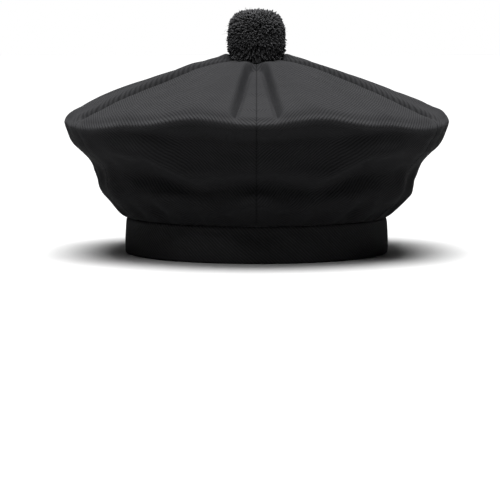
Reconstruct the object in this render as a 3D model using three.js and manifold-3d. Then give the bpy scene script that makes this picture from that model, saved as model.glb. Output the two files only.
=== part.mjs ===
// A plain black twill tam, or beret: six crown gores that meet under a yarn pompom, gathered into an
// upright headband, with a lining inside. It stands on the flat rim of its band, as it does on a table.
// Millimetres, +Z up, the front of the hat towards -Y. Angles are degrees from the front, growing
// anticlockwise as seen from above, so +X is at 90.

import * as THREE from 'three';
import { mergeVertices } from 'three/addons/utils/BufferGeometryUtils.js';
import Module from 'manifold-3d';

const wasm = await Module();
wasm.setup();

// Crown
const crownWidth = 274;         // across the widest part of the rim, flat side to flat side
const cornerReach = 0.03;       // share by which the rim's six corners, at the seams, stand out past its flats
const rimHeight = 94.6;         // of the widest line above the table
const peakHeight = 150.2;       // where the straight roof lines would reach the centre hole
const crownCloth = 1.8;         // twill with its inner facing
const centreHole = 5;           // radius where the gores' tips stop, under the pompom
const goreCount = 6;

// Folds in the crown
const rimWave = 5;              // how far the rim rises and falls around the hat
const seamDip = 6.2;            // how far a seam lies below the crowns of its gores
const rimSeam = 0.25;           // share of that dip that is left at the rim
const foldDepth = 4.6;          // of the rolls and hollows in the side
const gatherDepth = 6.5;        // of the gathers at the band
const gatherWidth = 6;          // half width of a gather where it leaves the band
const gatherRise = 0.18;        // share of a gather's reach over which it opens from the band seam
const gatherSpread = 1.3;       // how much wider it gets by its upper end, in shares of its width
const flankHeight = 0.25;       // of the swell on both sides of a gather, as a share of its depth
const flankWidth = 2.4;         // of that swell, in gather widths
const dentDepth = 3;            // of the soft dents in the roof
const calmBand = 0.12;          // shares of the side, by the band and by the rim, in which the rolls
const calmRim = 0.1;            // and hollows fade out

// Band
const bandTopWidth = 187.8;
const bandFlare = 1.1;          // how much further out the rim of the band stands than its top
const bandHeight = 25.3;
const bandCloth = 3;            // two layers with the seam allowance between
const bandEdge = 0.6;           // rounding of the folded edges
const bandBulge = 0.5;

// Lining
const liningCloth = 1;

// Pompom
const pompomWidth = 42.6;
const pompomHeight = 36;
const pompomBoxiness = 2.8;     // of its upper half. 2 is a plain ellipsoid
const footBoxiness = 4;         // of its lower half, pressed flatter by the crown
const pompomCore = 0.84;        // share of the outer form that is solid under the locks
const pompomPull = 11.5;        // how far the tie pulls the crown's centre down
const pullWidth = 17.2;         // radius of that hollow
const pullEdge = 5;             // how steeply the hollow's edge drops. 2 is a soft bell
const lockCount = 52;
const lockRadius = 3.8;         // halfway out
const lockTaper = 0.85;         // share of it that is left near the blunt tip
const tieLength = 3;            // of the knot that holds the pompom, below the cloth

// Clearance between neighbours
const pieceGap = 0.3;

// Mesh
const goreColumns = 12;
const bandSides = 40;
const liningSides = 30;
const liningRows = 8;
const lockSides = 5;
const tieSides = 12;

const rimRadius = crownWidth / 2;
const bandTopRadius = bandTopWidth / 2;
const hemHeight = bandHeight + pieceGap;
const goreAngle = 360 / goreCount;

// The roof, from the centre hole to the rim. out is the share of the way out, up the share of the rise,
// steps the mesh rows up to the next section.
const roofRows = [
  { out: 0, up: 1, steps: 4 },
  { out: 0.162, up: 0.858, steps: 1 },
  { out: 0.46, up: 0.608, steps: 1 },
  { out: 0.781, up: 0.338, steps: 1 },
  { out: 0.89, up: 0.234, steps: 1 },
  { out: 0.944, up: 0.176, steps: 1 },
  { out: 0.976, up: 0.129, steps: 1 },
  { out: 0.994, up: 0.068, steps: 1 },
  { out: 1, up: 0, steps: 0 },
];

// The side, from the rim down to the band. out is the share of the overhang, up the share of its height.
const sideRows = [
  { out: 1, up: 1, steps: 1 },
  { out: 0.988, up: 0.938, steps: 1 },
  { out: 0.93, up: 0.854, steps: 1 },
  { out: 0.84, up: 0.77, steps: 1 },
  { out: 0.705, up: 0.687, steps: 1 },
  { out: 0.59, up: 0.603, steps: 1 },
  { out: 0.529, up: 0.519, steps: 1 },
  { out: 0.478, up: 0.393, steps: 1 },
  { out: 0.44, up: 0.3, steps: 1 },
  { out: 0.369, up: 0.22, steps: 1 },
  { out: 0.26, up: 0.142, steps: 1 },
  { out: 0.125, up: 0.058, steps: 2 },
  { out: 0, up: 0, steps: 0 },
];

// Height of the rim around one half of the hat, as a share of rimWave. The other half mirrors it.
const rimRows = [
  { at: 0, lift: 0.25 },
  { at: 16, lift: 1 },
  { at: 36, lift: -0.1 },
  { at: 52, lift: -0.66 },
  { at: 72, lift: -0.12 },
  { at: 90, lift: 0 },
  { at: 128, lift: -0.6 },
  { at: 146, lift: -0.1 },
  { at: 163, lift: 0.6 },
  { at: 180, lift: 0.2 },
];

// The gore seams. dip is the share of seamDip, floor half the angle of the flat valley along the seam,
// wall the width in mm over which the cloth climbs out of it.
const seamRows = [
  { at: 0, dip: 1, floor: 6.6, wall: 11 },
  { at: 60, dip: 0.72, floor: 0, wall: 14 },
  { at: 120, dip: 0.5, floor: 0, wall: 14 },
  { at: 180, dip: 0.7, floor: 3, wall: 12 },
  { at: -120, dip: 0.5, floor: 0, wall: 14 },
  { at: -60, dip: 0.72, floor: 0, wall: 14 },
];

// Rolls, out above 0, and hollows, out below 0, that run round the side, mirrored from one half to the
// other. up is the height in shares of the side, out the share of foldDepth.
const sideFolds = {
  underRim: {
    tall: 0.1,
    rows: [
      { at: 0, up: 0.79, out: -0.85 },
      { at: 22, up: 0.8, out: -0.85 },
      { at: 40, up: 0.97, out: -0.2 },
      { at: 52, up: 0.97, out: 0 },
      { at: 150, up: 0.8, out: 0 },
      { at: 180, up: 0.8, out: -0.5 },
    ],
  },
  roll: {
    tall: 0.09,
    rows: [
      { at: 0, up: 0.59, out: 0.9 },
      { at: 20, up: 0.51, out: 1 },
      { at: 38, up: 0.76, out: 0.7 },
      { at: 52, up: 0.82, out: 0 },
      { at: 105, up: 0.6, out: 0 },
      { at: 135, up: 0.62, out: 0.4 },
      { at: 180, up: 0.56, out: 0.3 },
    ],
  },
  underRoll: {
    tall: 0.09,
    rows: [
      { at: 0, up: 0.41, out: -0.7 },
      { at: 20, up: 0.33, out: -0.75 },
      { at: 40, up: 0.5, out: -0.8 },
      { at: 52, up: 0.5, out: 0 },
      { at: 110, up: 0.42, out: 0 },
      { at: 140, up: 0.44, out: -0.35 },
      { at: 180, up: 0.38, out: -0.2 },
    ],
  },
  arch: {
    tall: 0.07,
    rows: [
      { at: 0, up: 0.27, out: 0.6 },
      { at: 14, up: 0.15, out: 0.4 },
      { at: 26, up: 0.12, out: 0 },
      { at: 180, up: 0.12, out: 0 },
    ],
  },
};

// Single hollows and ridges in the side, on both halves. wide is in degrees, tall a share of the side.
const sideDents = [
  { at: 73, up: 0.44, wide: 7, tall: 0.15, out: -0.9 },
  { at: 57, up: 0.38, wide: 4.5, tall: 0.16, out: 0.8 },
  { at: 37, up: 0.24, wide: 4, tall: 0.11, out: 0.6 },
  { at: 112, up: 0.5, wide: 7, tall: 0.14, out: -0.55 },
];

// Soft dents in the roof. out is the share of the way to the rim, long its half length in that share.
const roofDents = [
  { at: 168, out: 0.55, wide: 6, long: 0.22, depth: 0.8 },
  { at: 98, out: 0.82, wide: 8, long: 0.12, depth: 0.5 },
  { at: -104, out: 0.78, wide: 7, long: 0.14, depth: 0.6 },
  { at: -150, out: 0.72, wide: 9, long: 0.13, depth: 0.5 },
];

// Gathers where the crown is sewn to the band, as irregular as on a hand-sewn hat. deep is the share of
// gatherDepth, reach how far up the side each one runs, lean how many degrees it turns on the way.
const gathers = [
  { at: 10, deep: 0.8, reach: 0.7, lean: 3 },
  { at: 25, deep: 0.45, reach: 0.4, lean: -3 },
  { at: 40, deep: 1, reach: 0.6, lean: 2 },
  { at: 54, deep: 0.4, reach: 0.4, lean: 4 },
  { at: 69, deep: 1, reach: 0.65, lean: -2 },
  { at: 84, deep: 0.5, reach: 0.32, lean: 3 },
  { at: 105, deep: 0.7, reach: 0.45, lean: 5 },
  { at: 132, deep: 0.45, reach: 0.4, lean: -4 },
  { at: 149, deep: 0.5, reach: 0.45, lean: 3 },
  { at: 166, deep: 1, reach: 0.7, lean: -4 },
  { at: -12, deep: 0.7, reach: 0.5, lean: -2 },
  { at: -26, deep: 0.4, reach: 0.35, lean: 3 },
  { at: -40, deep: 1, reach: 0.6, lean: -2 },
  { at: -53, deep: 0.6, reach: 0.5, lean: 2 },
  { at: -68, deep: 0.5, reach: 0.4, lean: -3 },
  { at: -84, deep: 0.75, reach: 0.32, lean: 2 },
  { at: -113, deep: 0.45, reach: 0.5, lean: -5 },
  { at: -137, deep: 0.75, reach: 0.5, lean: 4 },
  { at: -160, deep: 1, reach: 0.75, lean: 7 },
];

// The lining. Its side is a share of the overhang and of the side's height, its dome a share of the rim
// radius and of the roof's rise.
const liningSide = [
  { out: 0, up: 0 },
  { out: 0.1, up: 0.14 },
  { out: 0.21, up: 0.38 },
  { out: 0.22, up: 0.62 },
];
const liningDome = [
  { out: 0.71, rise: -0.16 },
  { out: 0.62, rise: 0.03 },
  { out: 0.46, rise: 0.22 },
  { out: 0.25, rise: 0.38 },
  { out: 0, rise: 0.46 },
];

const radians = Math.PI / 180;

function blend(a, b, share) {
  return a + (b - a) * share;
}

function smooth(share) {
  const x = THREE.MathUtils.clamp(share, 0, 1);
  return x * x * (3 - 2 * x);
}

function bell(x) {
  return Math.exp(-x * x);
}

// The angle between two directions, from -180 to 180.
function turn(from, to) {
  return THREE.MathUtils.euclideanModulo(to - from + 180, 360) - 180;
}

// A column of a table whose rows go by angle from 0 to 180, read on either half of the hat.
function around(rows, column, angle) {
  const at = Math.abs(turn(0, angle));
  const next = rows.findIndex((row) => row.at >= at);
  if (next <= 0) {
    return rows[0][column];
  }
  const a = rows[next - 1];
  const b = rows[next];
  return blend(a[column], b[column], smooth((at - a.at) / (b.at - a.at)));
}

// A smooth curve through a column of a table, at a place counted in rows.
function along(rows, column, place) {
  const i = Math.min(Math.floor(place), rows.length - 2);
  const x = place - i;
  const b = rows[i][column];
  const c = rows[i + 1][column];
  const a = i > 0 ? rows[i - 1][column] : 2 * b - c;
  const d = i + 2 < rows.length ? rows[i + 2][column] : 2 * c - b;
  const bend = 2 * a - 5 * b + 4 * c - d;
  const twist = 3 * (b - c) + d - a;
  return b + 0.5 * x * (c - a + x * (bend + x * twist));
}

function direction(angle) {
  return new THREE.Vector3(Math.sin(angle * radians), -Math.cos(angle * radians), 0);
}

// Radius and height of the rim at an angle.
function rimAt(angle) {
  const corner = 0.5 + 0.5 * Math.cos(goreCount * angle * radians);
  return {
    radius: rimRadius * (1 + cornerReach * corner),
    height: rimHeight + rimWave * around(rimRows, 'lift', angle),
  };
}

// How far the cloth of the seams, folds and dents stands in or out. On the roof, out is the share of the
// way to the rim.
function seamDepth(angle, radius) {
  let depth = 0;
  for (const seam of seamRows) {
    const away = Math.abs(turn(seam.at, angle)) * radians * radius;
    const floor = seam.floor * radians * radius;
    depth += seam.dip * seamDip * (1 - smooth((away - floor) / seam.wall));
  }
  return depth;
}

function roofOffset(angle, out, radius) {
  const inside = 1 - bell(radius / pullWidth);
  const outside = 1 - (1 - rimSeam) * out ** 4;
  let offset = -seamDepth(angle, radius) * inside * outside;
  for (const dent of roofDents) {
    const across = bell(turn(dent.at, angle) / dent.wide);
    offset -= dent.depth * dentDepth * across * bell((out - dent.out) / dent.long);
  }
  return offset;
}

function gatherOffset(angle, up) {
  let offset = 0;
  for (const gather of gathers) {
    const climb = up / gather.reach;
    if (climb < 1) {
      const fade = smooth(climb / gatherRise) * (1 - climb) ** 1.5;
      const away = turn(gather.at + gather.lean * climb, angle) * radians * bandTopRadius;
      const width = gatherWidth * (1 + gatherSpread * climb);
      const flanks = flankHeight * bell(away / width / flankWidth);
      offset -= gather.deep * gatherDepth * fade * (bell(away / width) - flanks);
    }
  }
  return offset;
}

function sideOffset(angle, up, radius) {
  let offset = -rimSeam * up * up * seamDepth(angle, radius) + gatherOffset(angle, up);
  const calm = smooth(up / calmBand) * smooth((1 - up) / calmRim);
  for (const fold of Object.values(sideFolds)) {
    const away = (up - around(fold.rows, 'up', angle)) / fold.tall;
    offset += foldDepth * around(fold.rows, 'out', angle) * bell(away) * calm;
  }
  for (const dent of sideDents) {
    const across = bell((Math.abs(turn(0, angle)) - dent.at) / dent.wide);
    offset += foldDepth * dent.out * across * bell((up - dent.up) / dent.tall) * calm;
  }
  return offset;
}

// The hollow that the tie of the pompom pulls into the crown.
function pull(radius) {
  return pompomPull * Math.exp(-((radius / pullWidth) ** pullEdge));
}

// place runs down the crown from 0 at the centre hole, through roofRows, then through sideRows.
const rimPlace = roofRows.length - 1;
const hemPlace = rimPlace + sideRows.length - 1;

const crownPlaces = [];
roofRows.concat(sideRows).forEach((row, i) => {
  const start = i < roofRows.length ? i : i - 1;
  for (let k = 0; k < row.steps; k += 1) {
    crownPlaces.push(start + k / row.steps);
  }
});
crownPlaces.push(hemPlace);

// Radius and height on the smooth crown, with no seams or folds.
function smoothCrown(angle, place) {
  const rim = rimAt(angle);
  if (place <= rimPlace) {
    const radius = blend(centreHole, rim.radius, along(roofRows, 'out', place));
    const height = blend(rim.height, peakHeight, along(roofRows, 'up', place));
    return { radius, height: height - pull(radius) };
  }
  return {
    radius: blend(bandTopRadius, rim.radius, along(sideRows, 'out', place - rimPlace)),
    height: blend(hemHeight, rim.height, along(sideRows, 'up', place - rimPlace)),
  };
}

// A point of the crown, lift above its outer face. Lift and folds follow the normal in the upright plane
// through the axis, so the cut edges of a gore stay flat.
function crownPoint(angle, place, lift) {
  const here = smoothCrown(angle, place);
  const step = 0.05;
  const before = smoothCrown(angle, Math.max(place - step, 0));
  const after = smoothCrown(angle, Math.min(place + step, hemPlace));
  const along2 = new THREE.Vector2(after.radius - before.radius, after.height - before.height).normalize();
  const offset = place <= rimPlace
    ? roofOffset(angle, along(roofRows, 'out', place), here.radius)
    : sideOffset(angle, along(sideRows, 'up', place - rimPlace), here.radius);
  const radius = here.radius - along2.y * (offset + lift);
  const height = here.height + along2.x * (offset + lift);
  return direction(angle).multiplyScalar(radius).setZ(height);
}

// Closes the space between two grids of points, outer and inner, into one solid. A grid is a list of rows,
// each of as many points. A ring's rows meet themselves.
function solidBetween(outer, inner, isRing) {
  const triangles = [];
  const face = (a, b, c) => {
    if (a.distanceTo(b) > 1e-4 && b.distanceTo(c) > 1e-4 && c.distanceTo(a) > 1e-4) {
      triangles.push(a, b, c);
    }
  };
  const quad = (a, b, c, d) => {
    face(a, b, c);
    face(a, c, d);
  };
  const rows = outer.length;
  const columns = outer[0].length;
  const spans = isRing ? columns : columns - 1;
  for (let j = 0; j < spans; j += 1) {
    const k = (j + 1) % columns;
    for (let i = 0; i < rows - 1; i += 1) {
      quad(outer[i][j], outer[i + 1][j], outer[i + 1][k], outer[i][k]);
      quad(inner[i][j], inner[i][k], inner[i + 1][k], inner[i + 1][j]);
    }
    quad(outer[0][j], outer[0][k], inner[0][k], inner[0][j]);
    quad(outer[rows - 1][k], outer[rows - 1][j], inner[rows - 1][j], inner[rows - 1][k]);
  }
  if (!isRing) {
    const last = columns - 1;
    for (let i = 0; i < rows - 1; i += 1) {
      quad(outer[i + 1][0], outer[i][0], inner[i][0], inner[i + 1][0]);
      quad(outer[i][last], outer[i + 1][last], inner[i + 1][last], inner[i][last]);
    }
  }
  return new THREE.BufferGeometry().setFromPoints(triangles);
}

function colour(hex, roughness) {
  return new THREE.MeshStandardMaterial({ color: hex, roughness, metalness: 0 });
}

const materials = {
  crown: colour(0x1b1b1d, 0.85),
  band: colour(0x1a1a1c, 0.85),
  lining: colour(0x2b2a2c, 0.45),
  pompom: colour(0x141415, 0.95),
};

// One gore: a leaf-shaped panel from the centre, over the rim and down to the band. Its cut edges lie in
// planes that are half a gap inside the planes of its seams.
function makeGore(index) {
  const from = index * goreAngle;
  const to = from + goreAngle;
  const fromSide = direction(from + 90);
  const toSide = direction(to - 90);
  const grid = (lift) => crownPlaces.map((place) => {
    const points = [];
    for (let column = 0; column <= goreColumns; column += 1) {
      const share = column / goreColumns;
      const point = crownPoint(blend(from, to, share), place, lift);
      point.addScaledVector(fromSide, (1 - share) * pieceGap / 2);
      point.addScaledVector(toSide, share * pieceGap / 2);
      points.push(point);
    }
    return points;
  });
  const gore = new THREE.Mesh(solidBetween(grid(0), grid(-crownCloth), false), materials.crown);
  gore.name = `crown_gore_${index + 1}`;
  return gore;
}

// Rings of points from a section, a list of radii and heights.
function rings(section, sides) {
  return section.map(({ radius, height }) => {
    const points = [];
    for (let side = 0; side < sides; side += 1) {
      points.push(direction(360 * side / sides).multiplyScalar(radius).setZ(height));
    }
    return points;
  });
}

// The band: an upright ring of folded cloth with a flat lower edge that the hat stands on.
function makeBand() {
  const outward = (share) => bandTopRadius + bandFlare * (1 - share) + bandBulge * 4 * share * (1 - share);
  const heights = [0, bandEdge / bandHeight, 0.5, 1 - bandEdge / bandHeight, 1];
  const wall = (inset, edgeWay) => heights.map((share) => {
    const isEdge = share === 0 || share === 1;
    const radius = outward(share) - inset + (isEdge ? edgeWay * bandEdge : 0);
    return { radius, height: share * bandHeight };
  }).reverse();
  const outer = rings(wall(0, -1), bandSides);
  const inner = rings(wall(bandCloth, 1), bandSides);
  const band = new THREE.Mesh(solidBetween(outer, inner, true), materials.band);
  band.name = 'band';
  return band;
}

// The lining: a light dome that hangs clear of the crown's folds and is sewn in behind its hem.
function makeLining() {
  const edgeRadius = bandTopRadius - crownCloth - pieceGap;
  const section = liningSide.map((row) => ({
    radius: blend(edgeRadius, rimRadius, row.out),
    height: blend(hemHeight, rimHeight, row.up),
  })).concat(liningDome.map((row) => ({
    radius: rimRadius * row.out,
    height: blend(rimHeight, peakHeight, row.rise),
  })));
  const curve = new THREE.SplineCurve(section.map((p) => new THREE.Vector2(p.radius, p.height)));
  const outer = [];
  const inner = [];
  for (let row = 0; row <= liningRows; row += 1) {
    const share = 1 - row / liningRows;
    const point = curve.getPoint(share);
    const way = curve.getTangent(share);
    if (row === 0) {
      way.set(-1, 0);
    }
    if (row === liningRows) {
      way.set(0, 1);
    }
    outer.push({ radius: point.x, height: point.y });
    inner.push({ radius: point.x - liningCloth * way.y, height: point.y + liningCloth * way.x });
  }
  const solid = solidBetween(rings(outer, liningSides), rings(inner, liningSides), true);
  const lining = new THREE.Mesh(solid, materials.lining);
  lining.name = 'lining';
  return lining;
}

// Distance from the pompom's middle to its outer form.
function pompomReach(way) {
  const flat = Math.hypot(way.x, way.y) / (pompomWidth / 2);
  const tall = Math.abs(way.z) / (pompomHeight / 2);
  const boxiness = way.z > 0 ? pompomBoxiness : footBoxiness;
  return (flat ** boxiness + tall ** boxiness) ** (-1 / boxiness);
}

// Lines of the crown's mesh, from the centre hole to the rim, as radii and heights.
const roofLines = [];
for (let column = 0; column < goreCount * goreColumns; column += 1) {
  const angle = column * goreAngle / goreColumns;
  roofLines.push(crownPlaces.filter((place) => place <= rimPlace).map((place) => {
    const point = crownPoint(angle, place, 0);
    return { radius: Math.hypot(point.x, point.y), height: point.z };
  }));
}

// The highest point of the crown's mesh at a distance from the axis.
function roofTop(radius) {
  const heights = roofLines.map((line) => {
    const next = Math.max(line.findIndex((point) => point.radius >= radius), 1);
    const a = line[next - 1];
    const b = line[next];
    return blend(a.height, b.height, THREE.MathUtils.clamp((radius - a.radius) / (b.radius - a.radius), 0, 1));
  });
  return Math.max(...heights);
}

// Height of the pompom's middle where its corners just clear the crown, and the crown's corners its form.
function pompomSeat(geometry) {
  const seats = roofLines.flat().filter((point) => point.radius < pompomWidth / 2).map((point) => {
    const flat = point.radius / (pompomWidth / 2);
    return point.height + pieceGap + pompomHeight / 2 * (1 - flat ** footBoxiness) ** (1 / footBoxiness);
  });
  const corners = geometry.attributes.position;
  for (let i = 0; i < corners.count; i += 1) {
    if (corners.getZ(i) < 0) {
      seats.push(roofTop(Math.hypot(corners.getX(i), corners.getY(i))) + pieceGap - corners.getZ(i));
    }
  }
  return Math.max(...seats);
}

function asManifold(geometry) {
  const bare = geometry.clone();
  bare.deleteAttribute('normal');
  bare.deleteAttribute('uv');
  const merged = mergeVertices(bare, 1e-4);
  return new wasm.Manifold(new wasm.Mesh({
    numProp: 3,
    vertProperties: new Float32Array(merged.attributes.position.array),
    triVerts: new Uint32Array(merged.index.array),
  }));
}

function asGeometry(solid) {
  const mesh = solid.getMesh();
  const geometry = new THREE.BufferGeometry();
  geometry.setAttribute('position', new THREE.BufferAttribute(mesh.vertProperties, 3));
  geometry.setIndex(new THREE.BufferAttribute(mesh.triVerts, 1));
  return geometry;
}

// One lock of yarn, from the middle of the pompom to its outer form.
function makeLock(index) {
  const golden = 180 * (3 - Math.sqrt(5));
  const high = 1 - 2 * (index + 0.5) / lockCount;
  const way = direction(golden * index).multiplyScalar(Math.sqrt(1 - high * high)).setZ(high);
  const reach = pompomReach(way);
  const lock = new THREE.LatheGeometry([
    new THREE.Vector2(0, 0),
    new THREE.Vector2(lockRadius, reach * 0.5),
    new THREE.Vector2(lockRadius * lockTaper, reach * 0.93),
    new THREE.Vector2(0, reach),
  ], lockSides);
  lock.applyQuaternion(new THREE.Quaternion().setFromUnitVectors(new THREE.Vector3(0, 1, 0), way));
  return lock;
}

// The pompom: a core with locks of yarn fused to it, and the tie that goes down through the crown.
function makePompom() {
  const core = new THREE.IcosahedronGeometry(1, 2);
  const corners = core.attributes.position;
  const way = new THREE.Vector3();
  for (let i = 0; i < corners.count; i += 1) {
    way.fromBufferAttribute(corners, i);
    way.multiplyScalar(pompomCore * pompomReach(way));
    corners.setXYZ(i, way.x, way.y, way.z);
  }
  let whole = asManifold(core);
  for (let index = 0; index < lockCount; index += 1) {
    whole = whole.add(asManifold(makeLock(index)));
  }
  const middle = pompomSeat(asGeometry(whole));
  const underHole = crownPoint(goreAngle / 2, 0, -crownCloth);
  const tieFoot = underHole.z - tieLength - middle;
  const tieRadius = Math.min(centreHole, Math.hypot(underHole.x, underHole.y)) - pieceGap;
  const tie = new THREE.CylinderGeometry(tieRadius, tieRadius, -tieFoot, tieSides);
  tie.rotateX(Math.PI / 2);
  tie.translate(0, 0, tieFoot / 2);
  whole = whole.add(asManifold(tie));
  const pompom = new THREE.Mesh(asGeometry(whole), materials.pompom);
  pompom.name = 'pompom';
  pompom.position.z = middle;
  return pompom;
}

const hat = new THREE.Group();
for (let index = 0; index < goreCount; index += 1) {
  hat.add(makeGore(index));
}
hat.add(makeBand(), makeLining(), makePompom());

export default hat;
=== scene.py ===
# A plain black twill beret: six gores that meet under a yarn pompom, gathered into an upright band, with
# a satin lining. Sizes are in millimetres and angles in degrees from the front, growing anticlockwise as
# seen from above, until a mesh is made in metres. The form is that of the solids, with finer detail.

import math

import bmesh
import bpy
import numpy as np
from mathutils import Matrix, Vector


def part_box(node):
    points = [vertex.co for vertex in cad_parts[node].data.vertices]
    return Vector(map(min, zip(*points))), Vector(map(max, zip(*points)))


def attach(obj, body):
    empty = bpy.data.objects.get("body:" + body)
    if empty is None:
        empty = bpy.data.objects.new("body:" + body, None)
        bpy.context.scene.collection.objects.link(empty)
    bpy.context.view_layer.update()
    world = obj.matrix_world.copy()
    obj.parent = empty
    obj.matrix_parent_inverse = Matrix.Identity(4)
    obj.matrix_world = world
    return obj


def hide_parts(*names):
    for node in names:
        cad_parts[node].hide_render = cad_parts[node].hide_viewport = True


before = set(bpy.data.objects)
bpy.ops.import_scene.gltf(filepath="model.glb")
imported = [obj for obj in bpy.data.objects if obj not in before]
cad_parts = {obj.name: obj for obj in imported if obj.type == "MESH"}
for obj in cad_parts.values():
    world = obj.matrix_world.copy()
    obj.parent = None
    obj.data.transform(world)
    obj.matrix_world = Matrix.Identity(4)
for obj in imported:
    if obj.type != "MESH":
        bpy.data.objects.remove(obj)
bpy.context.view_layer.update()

MM = 0.001


def frame_box(node):
    low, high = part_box(node)
    return np.array(low) / MM, np.array(high) / MM


band_low, band_high = frame_box("band")
pompom_low, pompom_high = frame_box("pompom")

# Crown
crown_width = 274  # across the rim, flat side to flat side
corner_reach = 0.03  # share by which the rim stands out at the seams
rim_height = 94.6
peak_height = 150.2
crown_cloth = 1.8
centre_hole = 5
gore_count = 6
rim_wave = 5
seam_dip = 6.2
rim_seam = 0.25
fold_depth = 4.6
gather_depth = 6.5
gather_width = 6
gather_rise = 0.18
gather_spread = 1.3
flank_height = 0.25
flank_width = 2.4
dent_depth = 3
calm_band = 0.12
calm_rim = 0.1
pompom_pull = 11.5
pull_width = 17.2
pull_edge = 5
piece_gap = 0.3
seam_press = 0.06  # by which two gores press into each other where their seam holds them

# Band and lining
band_top_width = 187.8
band_flare = 1.1
band_bulge = 0.5
band_cloth = 3
band_fold = 1.4  # radius of the folded lower edge
band_top_edge = 1.7
lining_cloth = 1

# Pompom
pompom_height = 40
pompom_boxiness = 3.2
foot_boxiness = 3.4  # of its lower half, where the strands lie on the crown
yarn_count = 3200
yarn_radius = 0.76
yarn_foot = 0.6  # shares of the way out at which the strands start and end
yarn_tips = 0.955, 1.0
yarn_thickness = 0.82, 1.15
yarn_profile = 0.9, 1.05, 1.08, 1, 0.62
yarn_bend = 0.35
fibre_count = 500
fibre_radius = 0.09
fibre_foot = 0.85
fibre_tips = 0.99, 1.04
fibre_profile = 1, 1, 0.8, 0.4
fibre_bend = 1.0
core_share = 0.78  # size of the solid core under the strands
strand_jitter = 0.025
strand_droop = 2.2  # how far the level strands' tips hang down
strand_clear = 0.7  # between the strands' middles and the crown's roof

# Fine detail of the cloth
cloth_step = 1.2  # between the points of the outer sheets
seam_tuck = 0.6  # radius of the cloth's turn into a seam
rim_lip = 2.8  # how far the rim's fold stands out at the front
lip_width = 4
lip_edge = 1.2  # half width of the fold's rounded crest
lip_hollow = 0.4  # of the cloth just below the fold
pucker_depth = 0.42  # of the small ripples along a seam
pucker_length = 4.2
pucker_reach = 7
shirr_depth = 0.45  # of the fine gathers at the band, between the large ones
shirr_count = 58
shirr_reach = 11
wrinkle_depth = 0.55
wrinkle_lining = 2.4  # depth of the lining's own wrinkles
lining_clear = 2.2  # by which it keeps clear of the crown's gathers, most at this height over its hem
lining_clear_at = 7
most_settle = 1.5  # the furthest that the simulated cloth may move
settle_edge = 26  # width of the strip by the band and the pompom in which it moves less
valley_start = 21  # the front valley opens from here, in front of the pompom
valley_opening = 15
crease_depth = 5.4  # of the two creases at the feet of the front valley's walls
crease_width = 2.2
side_crease = 5.4  # of the creases along the next seams on the roof
side_crease_width = 2.2
side_crease_away = 2.6  # from the seam, on the side that the front view shows
fold_gain = 0.45  # share by which the folds of the side are deeper than in the solids
seam_fill = 2.4  # by which those seams' grooves are filled at the rim and below it
fill_width = 11
collar_depth = 8  # of the hollow in front of the pompom
collar_radius = 20
collar_width = 17
rib_spacing = 1.75  # of the twill's diagonal ribs
rib_angle = 48
thread_spacing = 0.75  # of the threads that break the ribs
thread_turn = 68  # between ribs and threads
twill_bump = 0.00045  # in metres
twill_sheen = 0.015

# The cloth simulation of the crown
grid_rows = 85
grid_columns = 240
settle_frames = 24
held_strip = 6  # width of the cloth that is held fast at the band and the centre hole
held_loosely = 0.08
blur_reach = 3  # in steps of the grid
blur_passes = 5

# The back seam's topstitching
stitch_count = 22
stitch_length = 2.6
stitch_gap = 1.2
stitch_away = 3  # from the seam
stitch_low = 6  # from the hem to the lowest stitch
stitch_lift = 0.15
stitch_radius = 0.28

# Studio, in metres and watts
camera_place = 0, -1.5, 0.144
camera_target = -0.0047, 0, 0.0007
camera_lens = 149.5
floor_half = 60
floor_dark = 0.195
floor_light = 0.205
sky_angle = 42
sky_energy = 17
air_light = 0.03  # how much the air lights the hat
air_look = 1.0  # how bright it looks behind the hat

rim_radius = crown_width / 2
band_height = band_high[2]
band_top_radius = band_top_width / 2
hem_height = band_height + piece_gap
gore_angle = 360 / gore_count
pompom_radius = (pompom_high[0] - pompom_low[0]) / 2
pompom_middle = pompom_high[2] - pompom_height / 2


def table(columns, *rows):
    """A table as one array for each named column."""
    return {name: np.array(values, float) for name, values in zip(columns.split(), zip(*rows))}


# The crown's cut, from the centre hole to the rim and from the rim to the band, in shares
roof_rows = table(
    "out up",
    (0, 1), (0.162, 0.858), (0.46, 0.608), (0.781, 0.338), (0.89, 0.234),
    (0.944, 0.176), (0.976, 0.129), (0.994, 0.068), (1, 0),
)
side_rows = table(
    "out up",
    (1, 1), (0.988, 0.938), (0.93, 0.854), (0.84, 0.77), (0.705, 0.687), (0.59, 0.603), (0.529, 0.519),
    (0.478, 0.393), (0.44, 0.3), (0.369, 0.22), (0.26, 0.142), (0.125, 0.058), (0, 0),
)
rim_rows = table(
    "at lift",
    (0, 0.25), (16, 1), (36, -0.1), (52, -0.66), (72, -0.12), (90, 0),
    (128, -0.6), (146, -0.1), (163, 0.6), (180, 0.2),
)
seam_rows = table(
    "at dip floor wall",
    (0, 1.15, 5.6, 4.2), (60, 1.05, 0, 9), (120, 0.6, 0, 11),
    (180, 0.8, 3, 8), (-120, 0.6, 0, 11), (-60, 1.05, 0, 9),
)

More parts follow.
